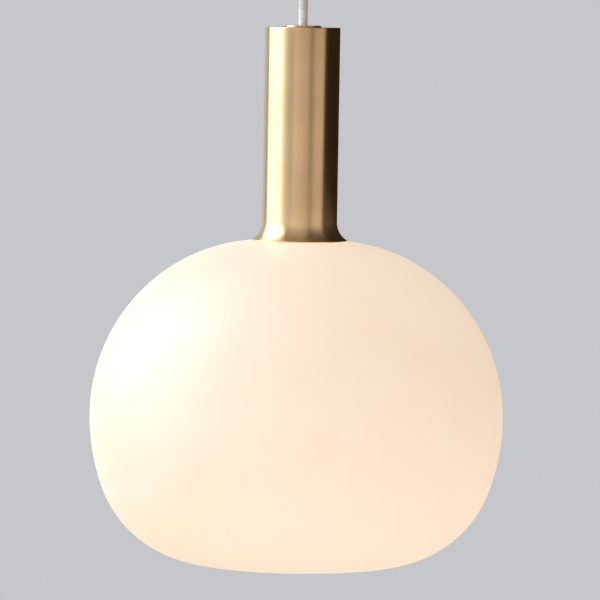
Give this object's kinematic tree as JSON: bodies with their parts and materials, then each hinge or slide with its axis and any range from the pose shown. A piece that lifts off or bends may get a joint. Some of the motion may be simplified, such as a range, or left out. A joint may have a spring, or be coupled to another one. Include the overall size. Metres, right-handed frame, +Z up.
{
  "type": "pendant ceiling light",
  "caption": "Globe pendant light: opal glass globe under a tall brushed brass cup, hung on a textile flex from a ceiling canopy.",
  "frame": {"origin": "centre of the ceiling plane, midway between the two ceiling screws", "axes": "+Z up into the ceiling, along the lamp's axis; +X along the ceiling bracket"},
  "size_m": [0.26, 0.26, 0.4083],
  "materials": {
    "zinc_steel": "zinc plated, satin",
    "brushed_brass": "spun and brushed round the axis, lacquered",
    "turned_brass": "turned, clean metal",
    "nylon": "natural nylon, satin",
    "white_textile": "braided rayon over three-core flex",
    "core_brown": "smooth insulation",
    "core_blue": "smooth insulation",
    "core_earth": "smooth insulation, green and yellow",
    "black_thermoplastic": "moulded thermoset, satin",
    "white_porcelain": "glazed porcelain",
    "silicone": "soft silicone gasket",
    "opal_glass": "matt etched opal glass, white through its thickness",
    "nickel": "nickel-plated cap",
    "tin_contact": "tinned contact",
    "black_vitrite": "black glass insulator",
    "bulb_white": "smooth white thermoplastic",
    "aluminium": "plain sheet",
    "led_yellow": "phosphor-coated",
    "bulb_opal": "diffusing opal"
  },
  "bodies": {
    "ceiling": {"ceiling_bracket": "zinc_steel", "canopy_nipple": "zinc_steel", "nipple_nuts": "zinc_steel", "nipple_toothed_washer": "zinc_steel", "canopy_cup": "brushed_brass", "canopy_collar": "brushed_brass", "canopy_grip_ring": "nylon", "canopy_grip_screw": "nylon", "terminal_block": "nylon", "block_inserts": "turned_brass", "block_terminal_screws": "zinc_steel", "block_fixing_screw": "zinc_steel", "bracket_earth_screw": "turned_brass", "canopy_wire_live": "core_brown", "canopy_wire_neutral": "core_blue", "canopy_wire_earth": "core_earth", "cord_in_canopy": "white_textile"},
    "cord_knuckle": {"cord_flex": "white_textile"},
    "lamp": {"cord_drop": "white_textile", "top_disc": "brushed_brass", "cup_shell": "brushed_brass", "top_toothed_washer": "zinc_steel", "top_lock_nut": "turned_brass", "top_cord_grip": "nylon", "hollow_rod": "zinc_steel", "rod_nuts": "zinc_steel", "holder_cap": "black_thermoplastic", "contact_block": "white_porcelain", "centre_contact": "turned_brass", "side_contact": "turned_brass", "terminal_screws": "zinc_steel", "holder_earth_post": "turned_brass", "holder_earth_screw": "zinc_steel", "thread_shell": "turned_brass", "shell_rivets": "turned_brass", "holder_skirt": "black_thermoplastic", "holder_lead_live": "core_brown", "holder_lead_neutral": "core_blue", "holder_lead_earth": "core_earth", "upper_gasket": "silicone"},
    "shade": {"glass_globe": "opal_glass", "lower_gasket": "silicone"},
    "shade_ring": {"shade_ring": "black_thermoplastic"},
    "bulb_tip": {"bulb_contact": "tin_contact"},
    "bulb": {"bulb_cap": "nickel", "bulb_insulator": "black_vitrite", "bulb_housing": "bulb_white", "bulb_led_plate": "aluminium", "bulb_leds": "led_yellow", "bulb_diffuser": "bulb_opal"}
  },
  "joints": [
    {"name": "swing_side", "type": "hinge", "parent": "ceiling", "child": "cord_knuckle", "pos_m": [0, 0, -0.04285], "axis": [0, 1, 0], "range_deg": [-25, 25]},
    {"name": "swing_front", "type": "hinge", "parent": "cord_knuckle", "child": "lamp", "pos_m": [0, 0, -0.04285], "axis": [1, 0, 0], "range_deg": [-25, 25]},
    {"name": "shade_lower", "type": "slide", "parent": "lamp", "child": "shade", "axis": [0, 0, 1], "range_m": [-0.01, 0]},
    {"name": "shade_ring_turn", "type": "hinge", "parent": "shade", "child": "shade_ring", "pos_m": [0, 0, -0.212], "axis": [0, 0, 1], "range_deg": [-1440, 0]},
    {"name": "bulb_drop", "type": "slide", "parent": "lamp", "child": "bulb_tip", "axis": [0, 0, 1], "range_m": [-0.01452, 0]},
    {"name": "bulb_turn", "type": "hinge", "parent": "bulb_tip", "child": "bulb", "pos_m": [0, 0, -0.2], "axis": [0, 0, 1], "range_deg": [-1440, 0]}
  ],
  "couplings": [
    {"joint": "shade_ring_turn", "follows": "shade_lower", "rad_per_m": 2513.3},
    {"joint": "bulb_turn", "follows": "bulb_drop", "rad_per_m": 1731.4}
  ]
}
